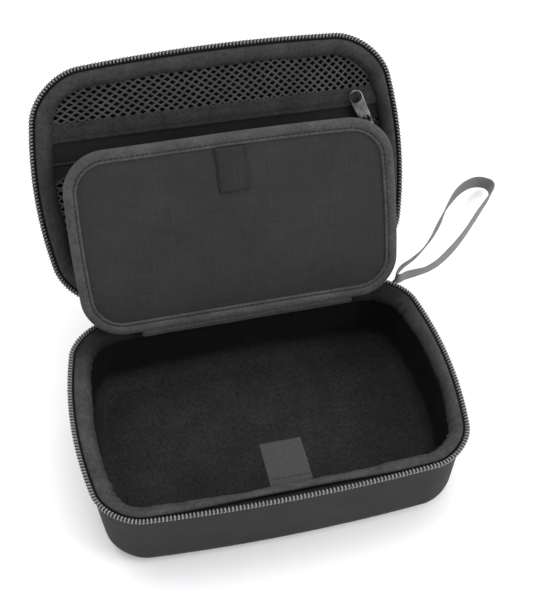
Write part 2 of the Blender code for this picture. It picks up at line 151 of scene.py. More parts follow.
def resample(points, count, closed):
    p = np.asarray(points, float)
    if closed:
        p = np.vstack([p, p[:1]])
    run = run_of(p)
    at = np.linspace(0, run[-1], count + 1 if closed else count)
    made = np.stack([np.interp(at, run, p[:, k]) for k in range(p.shape[1])], axis=1)
    return made[:-1] if closed else made


def tangents(p, closed):
    if closed:
        t = np.roll(p, -1, 0) - np.roll(p, 1, 0)
    else:
        t = np.gradient(p, axis=0)
    return t / np.maximum(np.linalg.norm(t, axis=1, keepdims=True), 1e-9)


def inward(p, closed=True):
    t = tangents(p, closed)
    return np.c_[-t[:, 1], t[:, 0]]


def rim(corner):
    return resample(outline(CASE_WIDTH, CASE_DEPTH, corner, SIDE_BOW, FRONT_BOW), RIM_POINTS, True)


def zip_path(corner):
    """The rim without its back side."""
    dense = outline(CASE_WIDTH, CASE_DEPTH, corner, SIDE_BOW, FRONT_BOW)
    return resample(dense[:len(dense) - SIDE_STEPS + 1], RIM_POINTS, False)


def ring(path, normal, distance, level):
    """A path moved inwards and put at a level; both may vary along it."""
    n = len(path)
    d, z = np.broadcast_to(distance, n), np.broadcast_to(level, n)
    return np.c_[path + normal * d[:, None], z]


def wave(path, spots):
    """A smooth irregular ripple along a path, from (waves, amount, phase) rows."""
    t = np.arange(len(path)) / len(path) * 2 * math.pi
    return sum(amount * np.sin(waves * t + phase) for waves, amount, phase in spots)


# ---------------------------------------- meshes
def make(name, verts, faces, material, body, nodes=(), uv=None, solid=True, auto=None):
    """A new smooth piece in the row frame, with its finish, its body and the CAD nodes it replaces."""
    data = bpy.data.meshes.new(name)
    data.from_pydata((np.asarray(verts) * MM).tolist(), [], [tuple(map(int, f)) for f in faces])
    if uv is not None:
        layer = data.uv_layers.new(name="cloth")
        layer.data.foreach_set("uv", np.asarray(uv, np.float32).ravel())
    if solid:
        build = bmesh.new()
        build.from_mesh(data)
        bmesh.ops.recalc_face_normals(build, faces=build.faces)
        build.to_mesh(data)
        build.free()
    for face in data.polygons:
        face.use_smooth = True
    data.validate()
    piece = bpy.data.objects.new(name, data)
    bpy.context.scene.collection.objects.link(piece)
    data.materials.append(material)
    if auto is not None:
        data.set_sharp_from_angle(angle=math.radians(auto))
    if body:
        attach(piece, body)
    if nodes:
        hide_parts(*nodes)
    return piece


def grid_faces(m, n, wrap_rows, wrap_columns):
    i, k = np.meshgrid(np.arange(m if wrap_rows else m - 1),
                       np.arange(n if wrap_columns else n - 1), indexing="ij")
    i, k = i.ravel(), k.ravel()
    a = i * n + k
    b = i * n + (k + 1) % n
    c = ((i + 1) % m) * n + (k + 1) % n
    d = ((i + 1) % m) * n + k
    corners = np.stack([i, k, i, k + 1, i + 1, k + 1, i + 1, k], axis=1).reshape(-1, 4, 2)
    return np.stack([a, b, c, d], axis=1), corners


def skin(name, rows, at, material, body, nodes=(), loop=False, around=True, flat=False):
    """A surface through rows of points. loop closes the rows on each other, around each row.

    Its cloth coordinates run along and across the rows, or follow x and y when flat.
    """
    P = np.array([np.asarray(r, float) for r in rows])
    m, n = P.shape[:2]
    faces, corners = grid_faces(m, n, loop, around)
    along = P[m // 2]
    u = run_of(along)
    u = np.append(u, u[-1] + np.linalg.norm(along[0] - along[-1]))
    across = np.linalg.norm(np.diff(P, axis=0), axis=2).mean(1)
    v = np.concatenate([[0], np.cumsum(across)])
    v = np.append(v, v[-1] + np.linalg.norm(P[-1] - P[0], axis=1).mean())
    uv = [np.stack([u[corners[:, :, 1]], v[corners[:, :, 0]]], axis=2).reshape(-1, 2)]
    polygons = [tuple(f) for f in faces]
    if around and not loop:
        polygons += [tuple(range(n)), tuple(range((m - 1) * n, m * n))]
        uv += [P[0, :, :2], P[-1, :, :2]]
    if loop and not around:
        ends = [[i * n for i in range(m)], [i * n + n - 1 for i in range(m)]]
        polygons += [tuple(e) for e in ends]
        uv += [np.zeros((m, 2)), np.zeros((m, 2))]
    uv = np.concatenate(uv)
    if flat:
        uv = P.reshape(-1, 3)[np.concatenate([np.array(f) for f in polygons]), :2]
    return make(name, at(P.reshape(-1, 3)), polygons, material, body, nodes, uv)


def tube(points, radius, sides=8, closed=False):
    """Vertices and faces of a round section carried along points, with ends closed."""
    p = np.asarray(points, float)
    t = tangents(p, closed)
    normal = np.cross(t[0], (0, 0, 1.0))
    if np.linalg.norm(normal) < 0.1:
        normal = np.cross(t[0], (1.0, 0, 0))
    normals = []
    for k in range(len(p)):
        normal = normal - t[k] * (normal @ t[k])
        normal = normal / np.linalg.norm(normal)
        normals.append(normal)
    normals = np.array(normals)
    other = np.cross(t, normals)
    a = np.arange(sides) / sides * 2 * math.pi
    r = np.broadcast_to(radius, len(p))[:, None, None]
    shape = np.cos(a)[None, :, None] * normals[:, None] + np.sin(a)[None, :, None] * other[:, None]
    verts = p[:, None] + shape * r
    faces, _ = grid_faces(len(p), sides, closed, True)
    polygons = [tuple(f) for f in faces]
    if not closed:
        last = (len(p) - 1) * sides
        polygons += [tuple(range(sides)), tuple(range(last, last + sides))]
    return verts.reshape(-1, 3), polygons


def rods(name, parts, at, material, body, nodes=()):
    """One piece out of one or more tubes."""
    verts, polygons, base = [], [], 0
    for v, f in parts:
        verts.append(v)
        polygons += [tuple(base + i for i in g) for g in f]
        base += len(v)
    return make(name, at(np.concatenate(verts)), polygons, material, body, nodes)


def read_out(build):
    """Vertices and faces of an edit mesh, which isn't needed after that."""
    build.verts.index_update()
    verts = np.array([v.co for v in build.verts])
    faces = [[v.index for v in f.verts] for f in build.faces]
    build.free()
    return verts, faces


def stitches(name, path, body, at, pitch=3.0, length=2.1, thick=0.5, closed=True):
    """A row of sewn stitches along a path of 3-D points."""
    p = np.asarray(path, float)
    line = np.vstack([p, p[:1]]) if closed else p
    run = run_of(line)
    count = int(run[-1] / pitch)
    parts = []
    for k in range(count):
        middle = (k + 0.5) * run[-1] / count
        s = middle + np.array([-0.5, -0.3, 0.0, 0.3, 0.5]) * length
        c = np.stack([np.interp(s, run, line[:, j]) for j in range(3)], axis=1)
        c[:, 2] += np.array([-0.30, 0.0, 0.1, 0.0, -0.30]) * thick
        radius = np.array([0.25, 0.46, 0.5, 0.46, 0.25]) * thick
        parts.append(tube(c, radius, 6))
    rods(name, parts, at, DARK_THREAD, body)


# ---------------------------------------- materials
class Nodes:
    """A short way to write a node tree."""

    def __init__(self, name):
        self.material = bpy.data.materials.new(name)
        self.material.use_nodes = True
        self.tree = self.material.node_tree
        self.shader = self.tree.nodes["Principled BSDF"]

    def add(self, kind, settings=None, **inputs):
        node = self.tree.nodes.new(kind)
        for key, value in (settings or {}).items():
            setattr(node, key, value)
        for key, value in inputs.items():
            self.put(node.inputs[key.replace("_", " ")], value)
        return node

    def put(self, socket, value):
        if isinstance(value, bpy.types.NodeSocket):
            self.tree.links.new(value, socket)
        else:
            socket.default_value = value

    def maths(self, operation, a, b):
        node = self.tree.nodes.new("ShaderNodeMath")
        node.operation = operation
        self.put(node.inputs[0], a)
        self.put(node.inputs[1], b)
        return node.outputs[0]

    def times(self, *values):
        made = values[0]
        for value in values[1:]:
            made = self.maths("MULTIPLY", made, value)
        return made

    def mix(self, a, share, b):
        """share of a and the rest of b."""
        return self.maths("ADD", self.times(a, share), self.times(b, 1 - share))

    def cloth(self):
        """The piece's own cloth coordinates, in millimetres."""
        return self.add("ShaderNodeUVMap", {"uv_map": "cloth"}).outputs["UV"]

    def place(self):
        """Object coordinates in millimetres."""
        made = self.add("ShaderNodeTexCoord").outputs["Object"]
        return self.add("ShaderNodeVectorMath", {"operation": "SCALE"}, Vector=made,
                        Scale=1000.0).outputs[0]

    def noise(self, vector, scale, detail=3.0, rough=0.6):
        return self.add("ShaderNodeTexNoise", Vector=vector, Scale=scale, Detail=detail,
                        Roughness=rough).outputs["Fac"]

    def bands(self, vector, period, angle=0.0, warp=0.0):
        """Stripes with a period in millimetres across a turned direction."""
        turned = self.add("ShaderNodeMapping", Vector=vector, Rotation=(0, 0, math.radians(angle)))
        scale = 2 * math.pi / 20.0 / period
        return self.add("ShaderNodeTexWave", {"bands_direction": "X", "wave_profile": "SIN"},
                        Vector=turned.outputs[0], Scale=scale, Distortion=warp, Detail=2.0,
                        Detail_Scale=1.0).outputs["Fac"]

    def ramp(self, factor, low, high, start=0.0, end=1.0):
        return self.add("ShaderNodeMapRange", {"clamp": True}, Value=factor, From_Min=start,
                        From_Max=end, To_Min=low, To_Max=high).outputs["Result"]

    def vary(self, factor, amount, start=0.0, end=1.0):
        """From 1 - amount to 1 + amount."""
        return self.ramp(factor, 1 - amount, 1 + amount, start, end)

    def along(self, axis, low, high, start, end, vector=None):
        """A ramp along an axis of the object, or of a vector."""
        split = self.add("ShaderNodeSeparateXYZ", Vector=vector or self.place())
        return self.ramp(split.outputs[axis], low, high, start, end)

    def stretched(self, vector, scale):
        return self.add("ShaderNodeMapping", Vector=vector, Scale=scale).outputs[0]

    def grey(self, value):
        """A grey with a scalar node value."""
        return self.add("ShaderNodeCombineColor", Red=value, Green=value,
                        Blue=self.times(value, 1.015)).outputs[0]

    def bump(self, height, strength, distance):
        return self.add("ShaderNodeBump", Height=height, Strength=strength,
                        Distance=distance * MM).outputs[0]

    def done(self, colour, roughness, normal=None, sheen=0.0, metallic=0.0, specular=0.12):
        values = {"Base Color": colour, "Roughness": roughness, "Metallic": metallic,
                  "Specular IOR Level": specular, "Sheen Weight": sheen, "Sheen Roughness": 0.45,
                  "Sheen Tint": (0.6, 0.6, 0.6, 1.0)}
        if normal is not None:
            values["Normal"] = normal
        for key, value in values.items():
            self.put(self.shader.inputs[key], value)
        return self.material


def twill(name, tone, period=1.0, contrast=0.25, sheen=0.12, rough=0.72, angle=45.0):
    """Fine diagonal nylon weave."""
    n = Nodes(name)
    uv = n.cloth()
    ribs = n.bands(uv, period, angle, 0.4)
    cross = n.bands(uv, period * 0.55, angle + 90, 0.3)
    weave = n.mix(ribs, 0.7, cross)
    cloud = n.noise(n.place(), 0.035, 2.0)
    fuzz = n.noise(n.place(), 1.1, 2.0)
    value = n.times(n.vary(weave, contrast), n.vary(cloud, 0.14, 0.3, 0.7),
                    n.vary(fuzz, 0.12, 0.25, 0.75), tone)
    normal = n.bump(weave, 0.35, 0.12)
    return n.done(n.grey(value), n.ramp(weave, rough + 0.1, rough - 0.05), normal, sheen)


def knit(name, tone, rib=1.2, ribs=0.2, mottle=0.3, sheen=0.15, rough=0.88, grain=0.5,
         shade=None, fold=None):
    """Brushed warp knit: faint ribs, a mottled pile and a soft bump.

    shade is an axis, two places along it and how dark the painted shade is at the second; fold
    is two distances across the cloth and how dark the painted shade is past the second.
    """
    n = Nodes(name)
    where = n.place()
    lines = n.bands(n.cloth(), rib, 0.0, 0.6)
    # painted shade: the tone falls along an axis of the object, and the ribs fade out there
    if shade:
        axis, low, high, dark = shade
        plain = n.along(axis, 1.0, 0.0, low, high, where)
        lines = n.maths("ADD", n.times(lines, plain), n.times(n.maths("SUBTRACT", 1.0, plain), 0.5))
        tone = n.times(n.ramp(plain, dark, 1.0), tone)
    # painted shade on a facing's inner edge, where it turns under
    if fold:
        near, far, dark = fold
        tone = n.times(n.along("Y", 1.0, dark, near, far, n.cloth()), tone)
    pile = n.noise(where, grain, 4.0, 0.7)
    cloud = n.noise(where, 0.06, 3.0)
    value = n.times(n.vary(lines, ribs), n.vary(pile, mottle, 0.25, 0.75),
                    n.vary(cloud, 0.2, 0.3, 0.7), tone)
    normal = n.bump(n.mix(pile, 0.7, lines), 0.4, 0.25)
    return n.done(n.grey(value), rough, normal, sheen)


def plainweave(name, tone, period=0.9, contrast=0.16, sheen=0.1, rough=0.78, slub=0.16):
    """Square plain weave with slubs in both directions, with painted shade low down by the hinge."""
    n = Nodes(name)
    where = n.cloth()
    warp = n.bands(where, period, 0.0, 0.25)
    weft = n.bands(where, period, 90.0, 0.25)
    slubs = n.noise(n.stretched(where, (0.06, 1.3, 1.3)), 1.0, 3.0)
    lines = n.noise(n.stretched(where, (1.3, 0.06, 0.06)), 1.0, 3.0)
    weave = n.times(warp, weft)
    cloud = n.noise(n.place(), 0.03, 2.0)
    # painted shade: the tone drops to 0.8 below 60 mm, towards the hinge
    value = n.times(n.vary(weave, contrast), n.vary(slubs, slub, 0.3, 0.7),
                    n.vary(lines, slub, 0.3, 0.7), n.along("Z", 0.8, 1.0, 60.0, 92.0),
                    n.vary(cloud, 0.1, 0.3, 0.7), tone)
    return n.done(n.grey(value), rough, n.bump(weave, 0.3, 0.1), sheen)


def webbing_cloth(name, tone, rib=1.2, sheen=0.15, rough=0.7, contrast=0.3):
    """Narrow woven tape, with picks across its ribs."""
    n = Nodes(name)
    uv = n.cloth()
    picks = n.bands(uv, 0.75, 0.0, 0.2)
    ribs = n.bands(uv, rib, 90.0, 0.15)
    weave = n.mix(picks, 0.45, ribs)
    fuzz = n.noise(n.place(), 0.9, 3.0)
    value = n.times(n.vary(weave, contrast), n.vary(fuzz, 0.15, 0.25, 0.75), tone)
    return n.done(n.grey(value), rough, n.bump(weave, 0.4, 0.15), sheen)


def nylon(name, tone, rough=0.3, specular=0.6):
    """Drawn nylon of the zip's teeth, rubbed lighter in places."""
    n = Nodes(name)
    wear = n.noise(n.place(), 0.5, 3.0)
    fine = n.noise(n.place(), 3.0, 2.0)
    value = n.times(n.ramp(wear, 0.75, 1.3, 0.3, 0.7), tone)
    return n.done(n.grey(value), n.ramp(fine, rough - 0.06, rough + 0.1), n.bump(fine, 0.1, 0.05),
                  specular=specular)


def metal(name, tone, rough=0.22):
    """Polished gunmetal plating with faint scratches and painted reflections in broad lighter and
    darker patches.
    """
    n = Nodes(name)
    where = n.place()
    scratch = n.noise(n.stretched(where, (2.5, 0.35, 0.35)), 1.6, 4.0)
    # painted reflections: broad cloudy patches from 0.3 to 1.6 of the tone
    cloud = n.noise(where, 0.13, 1.0)
    value = n.times(n.ramp(cloud, 0.3, 1.6, 0.38, 0.62), tone)
    return n.done(n.grey(value), n.ramp(scratch, rough - 0.06, rough + 0.12, 0.3, 0.7),
                  n.bump(scratch, 0.08, 0.05), metallic=1.0, specular=0.5)


def thread(name, tone):
    """Twisted sewing thread."""
    n = Nodes(name)
    strands = n.noise(n.place(), 4.0, 2.0)
    value = n.times(n.vary(strands, 0.3, 0.3, 0.7), tone)
    return n.done(n.grey(value), 0.6, n.bump(strands, 0.4, 0.08), 0.1)


SHELL = twill("shell_cloth", 0.0232, 1.1, 0.3, 0.02)
# painted shade on the lining's walls: the tone falls to a fifth between heights 8 and 20 mm
LINING = knit("lining_knit", 0.0160, 1.3, 0.30, 0.55, 0.0, grain=0.45,
              shade=("Z", 8.0, 20.0, 0.2))
LID_LINING = knit("lid_lining_knit", 0.008, 1.25, 0.3, 0.4, 0.0)
# painted shadow of the divider: the base facing darkens to 0.3 of its tone from y 30 to 56 mm; painted
# shade on its turned-under inner edge too
FACING = knit("facing_knit", 0.041, 1.1, 0.10, 0.40, 0.02, grain=0.4,
              shade=("Y", 30.0, 56.0, 0.30), fold=(7.0, 12.5, 0.62))
# painted shade on the lid facing's turned-under inner edge
FACING_LID = knit("facing_knit_lid", 0.034, 1.1, 0.10, 0.40, 0.02, grain=0.4,
                  fold=(6.5, 12.5, 0.55))
TAPE = twill("zip_tape", 0.010, 0.9, 0.3, 0.0, 0.8, 20.0)
POCKET_CLOTH = knit("pocket_cloth", 0.023, 1.0, 0.10, 0.45, 0.0)
COIL = nylon("zip_coil", 0.17, 0.22, 0.55)
POCKET_COIL = nylon("pocket_zip_coil", 0.012, 0.5, 0.2)
CORD = knit("zip_cord", 0.050, 0.6, 0.3, 0.3, 0.0, rough=0.9)
FACE = plainweave("divider_cloth", 0.0265, contrast=0.14, slub=0.13)
BINDING = knit("binding_cloth", 0.0515, 0.8, 0.08, 0.34, 0.08, grain=0.5)
RIDGE = knit("binding_ridge", 0.040, 0.8, 0.06, 0.14, 0.06, grain=0.9)
PATCH = plainweave("patch_cloth", 0.026, 0.6, 0.25, 0.0, 0.9)
NET = knit("pocket_net", 0.050, 0.5, 0.12, 0.25, 0.02)
WEB = webbing_cloth("webbing", 0.046, sheen=0.0)
STRAP_TAPE = webbing_cloth("strap_webbing", 0.14, 1.0, 0.05, contrast=0.2)
METAL = metal("gunmetal", 0.10)
DARK_THREAD = thread("dark_thread", 0.012)


# ---------------------------------------- the two halves
def fillet(start, corner, end, radius, steps=9):
    """Points that round the corner between two straight lines of (inward, up)."""
    s, c, e = (np.array(p, float) for p in (start, corner, end))
    a, b = (s - c) / np.linalg.norm(s - c), (e - c) / np.linalg.norm(e - c)
    half = math.acos(float(np.clip(a @ b, -1, 1))) / 2
    reach = radius / math.tan(half)
    centre = c + (a + b) / np.linalg.norm(a + b) * radius / math.sin(half)
    p, q = c + a * reach - centre, c + b * reach - centre
    total = math.acos(float(np.clip(p @ q / radius ** 2, -1, 1)))
    side = 1 if p[0] * q[1] - p[1] * q[0] > 0 else -1
    made = []
    for k in range(steps + 1):
        t = side * total * k / steps
        turn = np.array([[math.cos(t), -math.sin(t)], [math.sin(t), math.cos(t)]])
        made.append(tuple(centre + turn @ p))
    return made


def dished(path, normal, profile, floor):
    """Rings down a wall profile and across the floor to a small middle ring."""
    rows = [ring(path, normal, d, z) for d, z in profile]
    last = rows[-1][:, :2]
    for share in (0.93, 0.8, 0.62, 0.42, 0.22, 0.05):
        rows.append(np.c_[last * share, np.full(len(last), floor)])
    return rows


def half(prefix, corner, height, edge, wall, at, facing_cloth, lining_cloth):
    """Shell, lining, facing and zip of the base or the lid."""
    path = rim(corner)
    normal = inward(path)

    # outer shell: wall, rounded edge and floor, with its inside face behind it
    top, far, floor = -5.6, FLANGE + 60, SHELL_THICKNESS - height
    wall_line = [(FLANGE, top), (FLANGE + 0.1, top - 2.0)]
    wall_line += fillet((FLANGE, top), (FLANGE + WALL_DRAFT, -height), (far, -height), edge, 10)
    outer = dished(path, normal, wall_line, -height)
    inner_start = FLANGE + SHELL_THICKNESS
    inner_line = [(inner_start, top - 2.0)]
    inner_line += fillet((inner_start, top), (inner_start + WALL_DRAFT, floor), (far, floor),
                         edge - SHELL_THICKNESS, 10)
    inner = dished(path, normal, inner_line, floor)
    lip = ring(path, normal, FLANGE + 0.9, top + 0.8)
    skin(prefix + "_shell_cloth", inner[::-1] + [lip] + outer, at, SHELL, prefix,
         [prefix + "_shell"])

    # lining: brushed knit that rolls from the wall into the floor
    start, depth = FLANGE + wall + 0.4, wall + 0.4 - height
    lumps = wave(path, ((9, 0.22, 0.4), (17, 0.16, 2.1), (31, 0.09, 1.0)))
    lining_line = [(start + 1.4, -8.2), (start + 1.5, -13.0)]
    lining_line += fillet((start + 1.5, -9), (start + 1.5 + WALL_DRAFT, depth + 1.5),
                          (start + 60, depth + 1.5), 11.0, 12)
    rows = [ring(path, normal, d + lumps * min(1, (-z - 8) / 6), z) for d, z in lining_line]
    last = rows[-1][:, :2]
    for share in (0.95, 0.85, 0.7, 0.52, 0.34, 0.17, 0.04):
        spread = last * share
        ripple = 0.25 * np.sin(spread[:, 0] / 21.0) * np.cos(spread[:, 1] / 17.0)
        rows.append(np.c_[spread, depth + 1.5 + ripple * (1 - share)])
    under = [ring(path, normal, start + 0.2, -8.2),
             ring(path, normal, start + 0.3 + WALL_DRAFT * 0.5, depth + 12.0),
             ring(path, normal, start + 11.0, depth + 0.2)]
    under.append(np.c_[last * 0.04, np.full(len(last), depth + 0.2)])
    skin(prefix + "_lining_knit", under[::-1] + rows, at, lining_cloth, prefix,
         [prefix + "_lining"], flat=True)

    # facing: a soft padded band, a little uneven where it is turned under, narrower on the right
    front = np.exp(-((path[:, 0] - 3) / 34.0) ** 2) * (path[:, 1] < 0)
    gap = np.exp(-(np.abs(path[:, 0] + 2) / 50.0) ** 3) * (path[:, 1] < 0)
    tight = 3.3 * np.exp(-(np.abs(path[:, 1] + 8) / 52.0) ** 4) * (path[:, 0] > 90)
    slack = 0.75
    if prefix == "lid":
        front, gap, tight, slack = front * 0.2, gap * 0.15, tight * 0.8, 0.0
    edge_wave = wave(path, ((11, 0.26, 0.3), (19, 0.2, 1.9), (37, 0.14, 0.7), (71, 0.12, 2.0)))
    corner_folds = np.exp(-((np.abs(path[:, 1]) - 52) / 16.0) ** 2) * (np.abs(path[:, 0]) > 60)
    edge_wave = edge_wave + corner_folds * wave(path, ((83, 0.45, 0.4), (127, 0.35, 1.1)))
    puff = wave(path, ((7, 0.14, 1.0), (16, 0.12, 0.2), (43, 0.08, 2.6)))
    # each row: distance in, height, its share of the wavy edge and its share of the puff
    section = (
        (FACING_START, -1.5, 0.0, 0.0), (FACING_START + 0.5, -0.85, 0.0, 0.2),
        (5.6, -0.55, 0.0, 0.7), (7.2, -0.75, 0.1, 1.0), (9.0, -1.4, 0.3, 1.0),
        (10.8, -2.45, 0.6, 1.0), (12.4, -3.9, 0.9, 0.8), (13.6, -5.4, 1.0, 0.5),
        (14.3, -7.0, 1.0, 0.2), (14.3, -8.5, 1.0, 0.0), (13.4, -9.4, 1.0, 0.0),
        (12.0, -9.3, 1.0, 0.0), (10.6, -7.2, 0.5, 0.0), (8.0, -4.7, 0.2, 0.0),
        (5.6, -3.3, 0.0, 0.0), (FACING_START + 0.1, -2.7, 0.0, 0.0),
    )
    rows = []
    for d, z, loose, lift in section:
        pulled = 2.7 * gap * max(0.0, 1 - (d - FACING_START) / 9.0) - tight * (d - FACING_START) / 10
        rows.append(ring(path, normal, d + loose * (edge_wave + 0.6 * front - slack) + pulled,
                         z + lift * (puff + 0.3 * front)))
    pad = skin(prefix + "_facing_pad", rows, at, facing_cloth, prefix,
               [prefix + "_rim_facing"], loop=True)

    # zip: tape under the coil, the coil's cord and the coil itself
    line = zip_path(corner)
    side = inward(line, False)
    rows = [ring(line, side, d, z) for d, z in (
        (0.9, -2.55), (3.2, -2.75), (6.0, -3.75), (9.0, -5.6),
        (9.0, -6.1), (5.6, -5.0), (4.4, -6.0), (3.3, -6.6), (2.7, -6.2), (2.3, -4.4), (0.9, -3.2))]
    skin(prefix + "_tape_cloth", rows, at, TAPE, prefix, [prefix + "_zip_tape"],
         loop=True, around=False)
    coil(prefix + "_zip_teeth", line, side, COIL_DIAMETER / 2, -COIL_DIAMETER / 2 - COIL_CLEARANCE,
         1.08, 1.05, 2.12, 0.46, at, COIL, prefix, [prefix + "_zip_coil"])


def coil(name, line, side, across, level, half_in, half_up, pitch, wire, at, material, body,
         nodes):
    """A nylon zip coil: each turn's heads lie square across the tape and it steps on below."""
    run = run_of(line)
    turns = int(run[-1] / pitch) - 1
    steps = 12
    phase = np.arange(turns * steps) / steps
    part = phase % 1.0
    # the wire moves on while it is underneath
    under = np.clip((part - 0.55) / 0.4, 0, 1)
    s = (np.floor(phase) + 0.5 + under * under * (3 - 2 * under)) * pitch
    a = 2 * math.pi * part
    place = np.stack([np.interp(s, run, line[:, k]) for k in (0, 1)], axis=1)
    normal = np.stack([np.interp(s, run, side[:, k]) for k in (0, 1)], axis=1)
    normal /= np.linalg.norm(normal, axis=1, keepdims=True)
    outwards = -np.cos(a) * half_in
    points = np.c_[place + normal * (across + outwards)[:, None],
                   level + np.sin(a) * half_up]
    rods(name, [tube(points, wire, 6)], at, material, body, nodes)
    core = np.c_[line + side * across, np.full(len(line), level - 0.1)]
    rods(name.replace("teeth", "cord"), [tube(core[2:-2], CORD_RADIUS)], at, CORD, body)


half("base", BASE_CORNER, BASE_HEIGHT, 11.6, 5.0, base_at, FACING, LINING)
half("lid", LID_CORNER, LID_HEIGHT, 13.0, 4.0, lid_at, FACING_LID, LID_LINING)


# ---------------------------------------- cloth across the two hinges
def back_line(x):
    """The rim's back edge at x."""
    half_x = CASE_WIDTH / 2 - SIDE_BOW
    return CASE_DEPTH / 2 - FRONT_BOW * (x / half_x) ** 2


def bridge(name, section, width, at_x, thick, material):
    """Cloth carried across x along a section of (y, z) points in the world, thickened both ways."""
    xs = np.linspace(-width / 2, width / 2, 61) + at_x
    first = np.array([section(x) for x in xs])
    t = np.gradient(first, axis=1)
    t /= np.linalg.norm(t, axis=2, keepdims=True)
    normal = np.stack([-t[..., 1], t[..., 0]], axis=2) * thick / 2
    rows = []
    for side in (1, -1):
        for k in range(first.shape[1])[::side]:
            rows.append(np.c_[xs, first[:, k] + side * normal[:, k]])
    piece = skin(name, rows, in_place, material, None, loop=True, around=False)
    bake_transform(piece)
    return piece


def case_hinge(x):
    y = back_line(x) - 2.7
    low = [(y, BASE_HEIGHT + z) for z in (-14.8, -11, -7, -4, -2.2)]
    high = [tuple(lid_at((x, y, z))[1:]) for z in (-2.2, -4, -7, -11, -14.8)]
    a, b = np.array(low[-1]), np.array(high[0])
    middle = (a + b) / 2 + (-0.4, 1.1)
    curve = [tuple((1 - s) ** 2 * a + 2 * s * (1 - s) * middle + s * s * b)
             for s in (0.2, 0.4, 0.6, 0.8)]
    return low + curve + high


hinge = bridge("hinge_cloth", case_hinge, 160.0, 0.0, 0.7, TAPE)
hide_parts("base_hinge_tape", "lid_hinge_tape")

STRIP_LEFT, STRIP_RIGHT = -64.0, 70.0


def fold(x):
    low = [(61.6, 54.3), (60.0, 54.95), (58.4, 55.1)]
    high = [tuple(divider_at((x, y, 0.0))[1:]) for y in (1.2, 2.4, 3.8, 5.4)]
    return low + high


web = bridge("divider_fold", fold, STRIP_RIGHT - STRIP_LEFT - 1.0, 3.0, 1.1, BINDING)
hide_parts("divider_hinge_web")

# the rolled hinge strip that the divider is sewn to
ROLL_Y, ROLL_Z, ROLL_HALF_WIDTH, ROLL_HALF_HEIGHT = 60.9, 52.9, 2.9, 2.1
xs = np.linspace(STRIP_LEFT, STRIP_RIGHT, 120)
ends = np.clip(np.minimum(xs - STRIP_LEFT, STRIP_RIGHT - xs) / 1.6, 0, 1) ** 0.5 * 0.25 + 0.75
sag = 0.22 * np.sin(xs / 9.0) + 0.16 * np.sin(xs / 4.1 + 1)
rows = []
for k in range(16):
    a = 2 * math.pi * k / 16
    y = ROLL_Y + ROLL_HALF_WIDTH * math.cos(a) * ends + sag * 0.3
    z = ROLL_Z + ROLL_HALF_HEIGHT * math.sin(a) * ends + sag * 0.5 * max(math.sin(a), 0)
    rows.append(np.c_[xs, y, z])
skin("divider_roll", rows, in_place, RIDGE, "base", ["divider_hinge_strip"],
     loop=True, around=False)
seam = [(x, 58.4, 52.2) for x in xs[3:-3]]
stitches("divider_roll_stitches", seam, "base", in_place, closed=False, thick=0.45)


# ---------------------------------------- divider
centre = np.array([DIVIDER_OFFSET, DIVIDER_FOOT + DIVIDER_LENGTH / 2])
path = outline(DIVIDER_WIDTH, DIVIDER_LENGTH, DIVIDER_CORNER, DIVIDER_BOW, 0.0)
path = resample(path, DIVIDER_POINTS, True) + centre
normal = inward(path)
spacing = run_of(np.vstack([path, path[:1]]))[-1] / len(path)
pucker = 0.5 + 0.5 * np.cos(np.arange(len(path)) * spacing / 3.1 * 2 * math.pi)
lazy = wave(path, ((9, 0.14, 0.2), (21, 0.10, 1.3), (47, 0.06, 0.5)))
upper = ((0.0, 0.0, 0, 0), (0.25, 1.25, 0, 0), (0.95, 2.2, 0, 0), (2.0, 2.8, 0, 0.4),
         (3.3, 3.02, 0, 0.8), (4.5, 2.98, 0.1, 0.8), (5.2, 2.72, 0.3, 0.4), (5.6, 2.35, 0.8, 0),
         (5.9, 2.2, 1.0, 0), (6.2, 2.45, 0.5, 0), (6.7, 2.85, 0.2, 0.3), (7.3, 2.85, 0.1, 0.3),
         (7.75, 2.5, 0, 0), (7.9, 1.9, 0, 0), (7.7, 1.2, 0, 0))
section = list(upper) + [(d, -z, p, w) for d, z, p, w in reversed(upper[1:])]
rows = []
for d, z, sunk, loose in section:
    side = 1.0 if z > 0 else -1.0
    rows.append(ring(path, normal, d + loose * lazy * 0.6,
                     z - side * sunk * 0.16 * pucker + side * loose * lazy))
skin("divider_binding_cloth", rows, divider_at, BINDING, "divider",
     ["divider_binding"], loop=True)


def pad_level(d):
    """Half the divider's thickness at a distance in from its outline."""
    return 1.55 + 1.0 * (1 - np.exp(-(d - 7.0) / 6.0))


rings = [(6.9, pad_level(7.0))] + [(d, pad_level(d)) for d in (7.6, 8.6, 10.0, 12.0, 15.0)]
front_rows = [ring(path, normal, d, z) for d, z in rings]
last = front_rows[-1][:, :2] - centre
for share in (0.93, 0.84, 0.74, 0.63, 0.51, 0.39, 0.27, 0.15, 0.03):
    flat_ring = last * share + centre
    ripple = 0.16 * np.sin(flat_ring[:, 0] / 13.0 + 1) * np.cos(flat_ring[:, 1] / 11.0)
    front_rows.append(np.c_[flat_ring, pad_level(26.0 - 10 * share) + ripple * (1 - share)])
back_rows = [r * (1, 1, -1) for r in front_rows]
pad = skin("divider_pad", back_rows[::-1] + front_rows, divider_at, FACE, "divider",
           ["divider_board", "divider_cover_front", "divider_cover_back"], flat=True)
for side, name in ((1, "front"), (-1, "back")):
    seam = ring(path, normal, 5.9, side * 2.28)
    stitches("divider_stitches_" + name, seam, "divider", divider_at, 3.1, 2.3, 0.55)


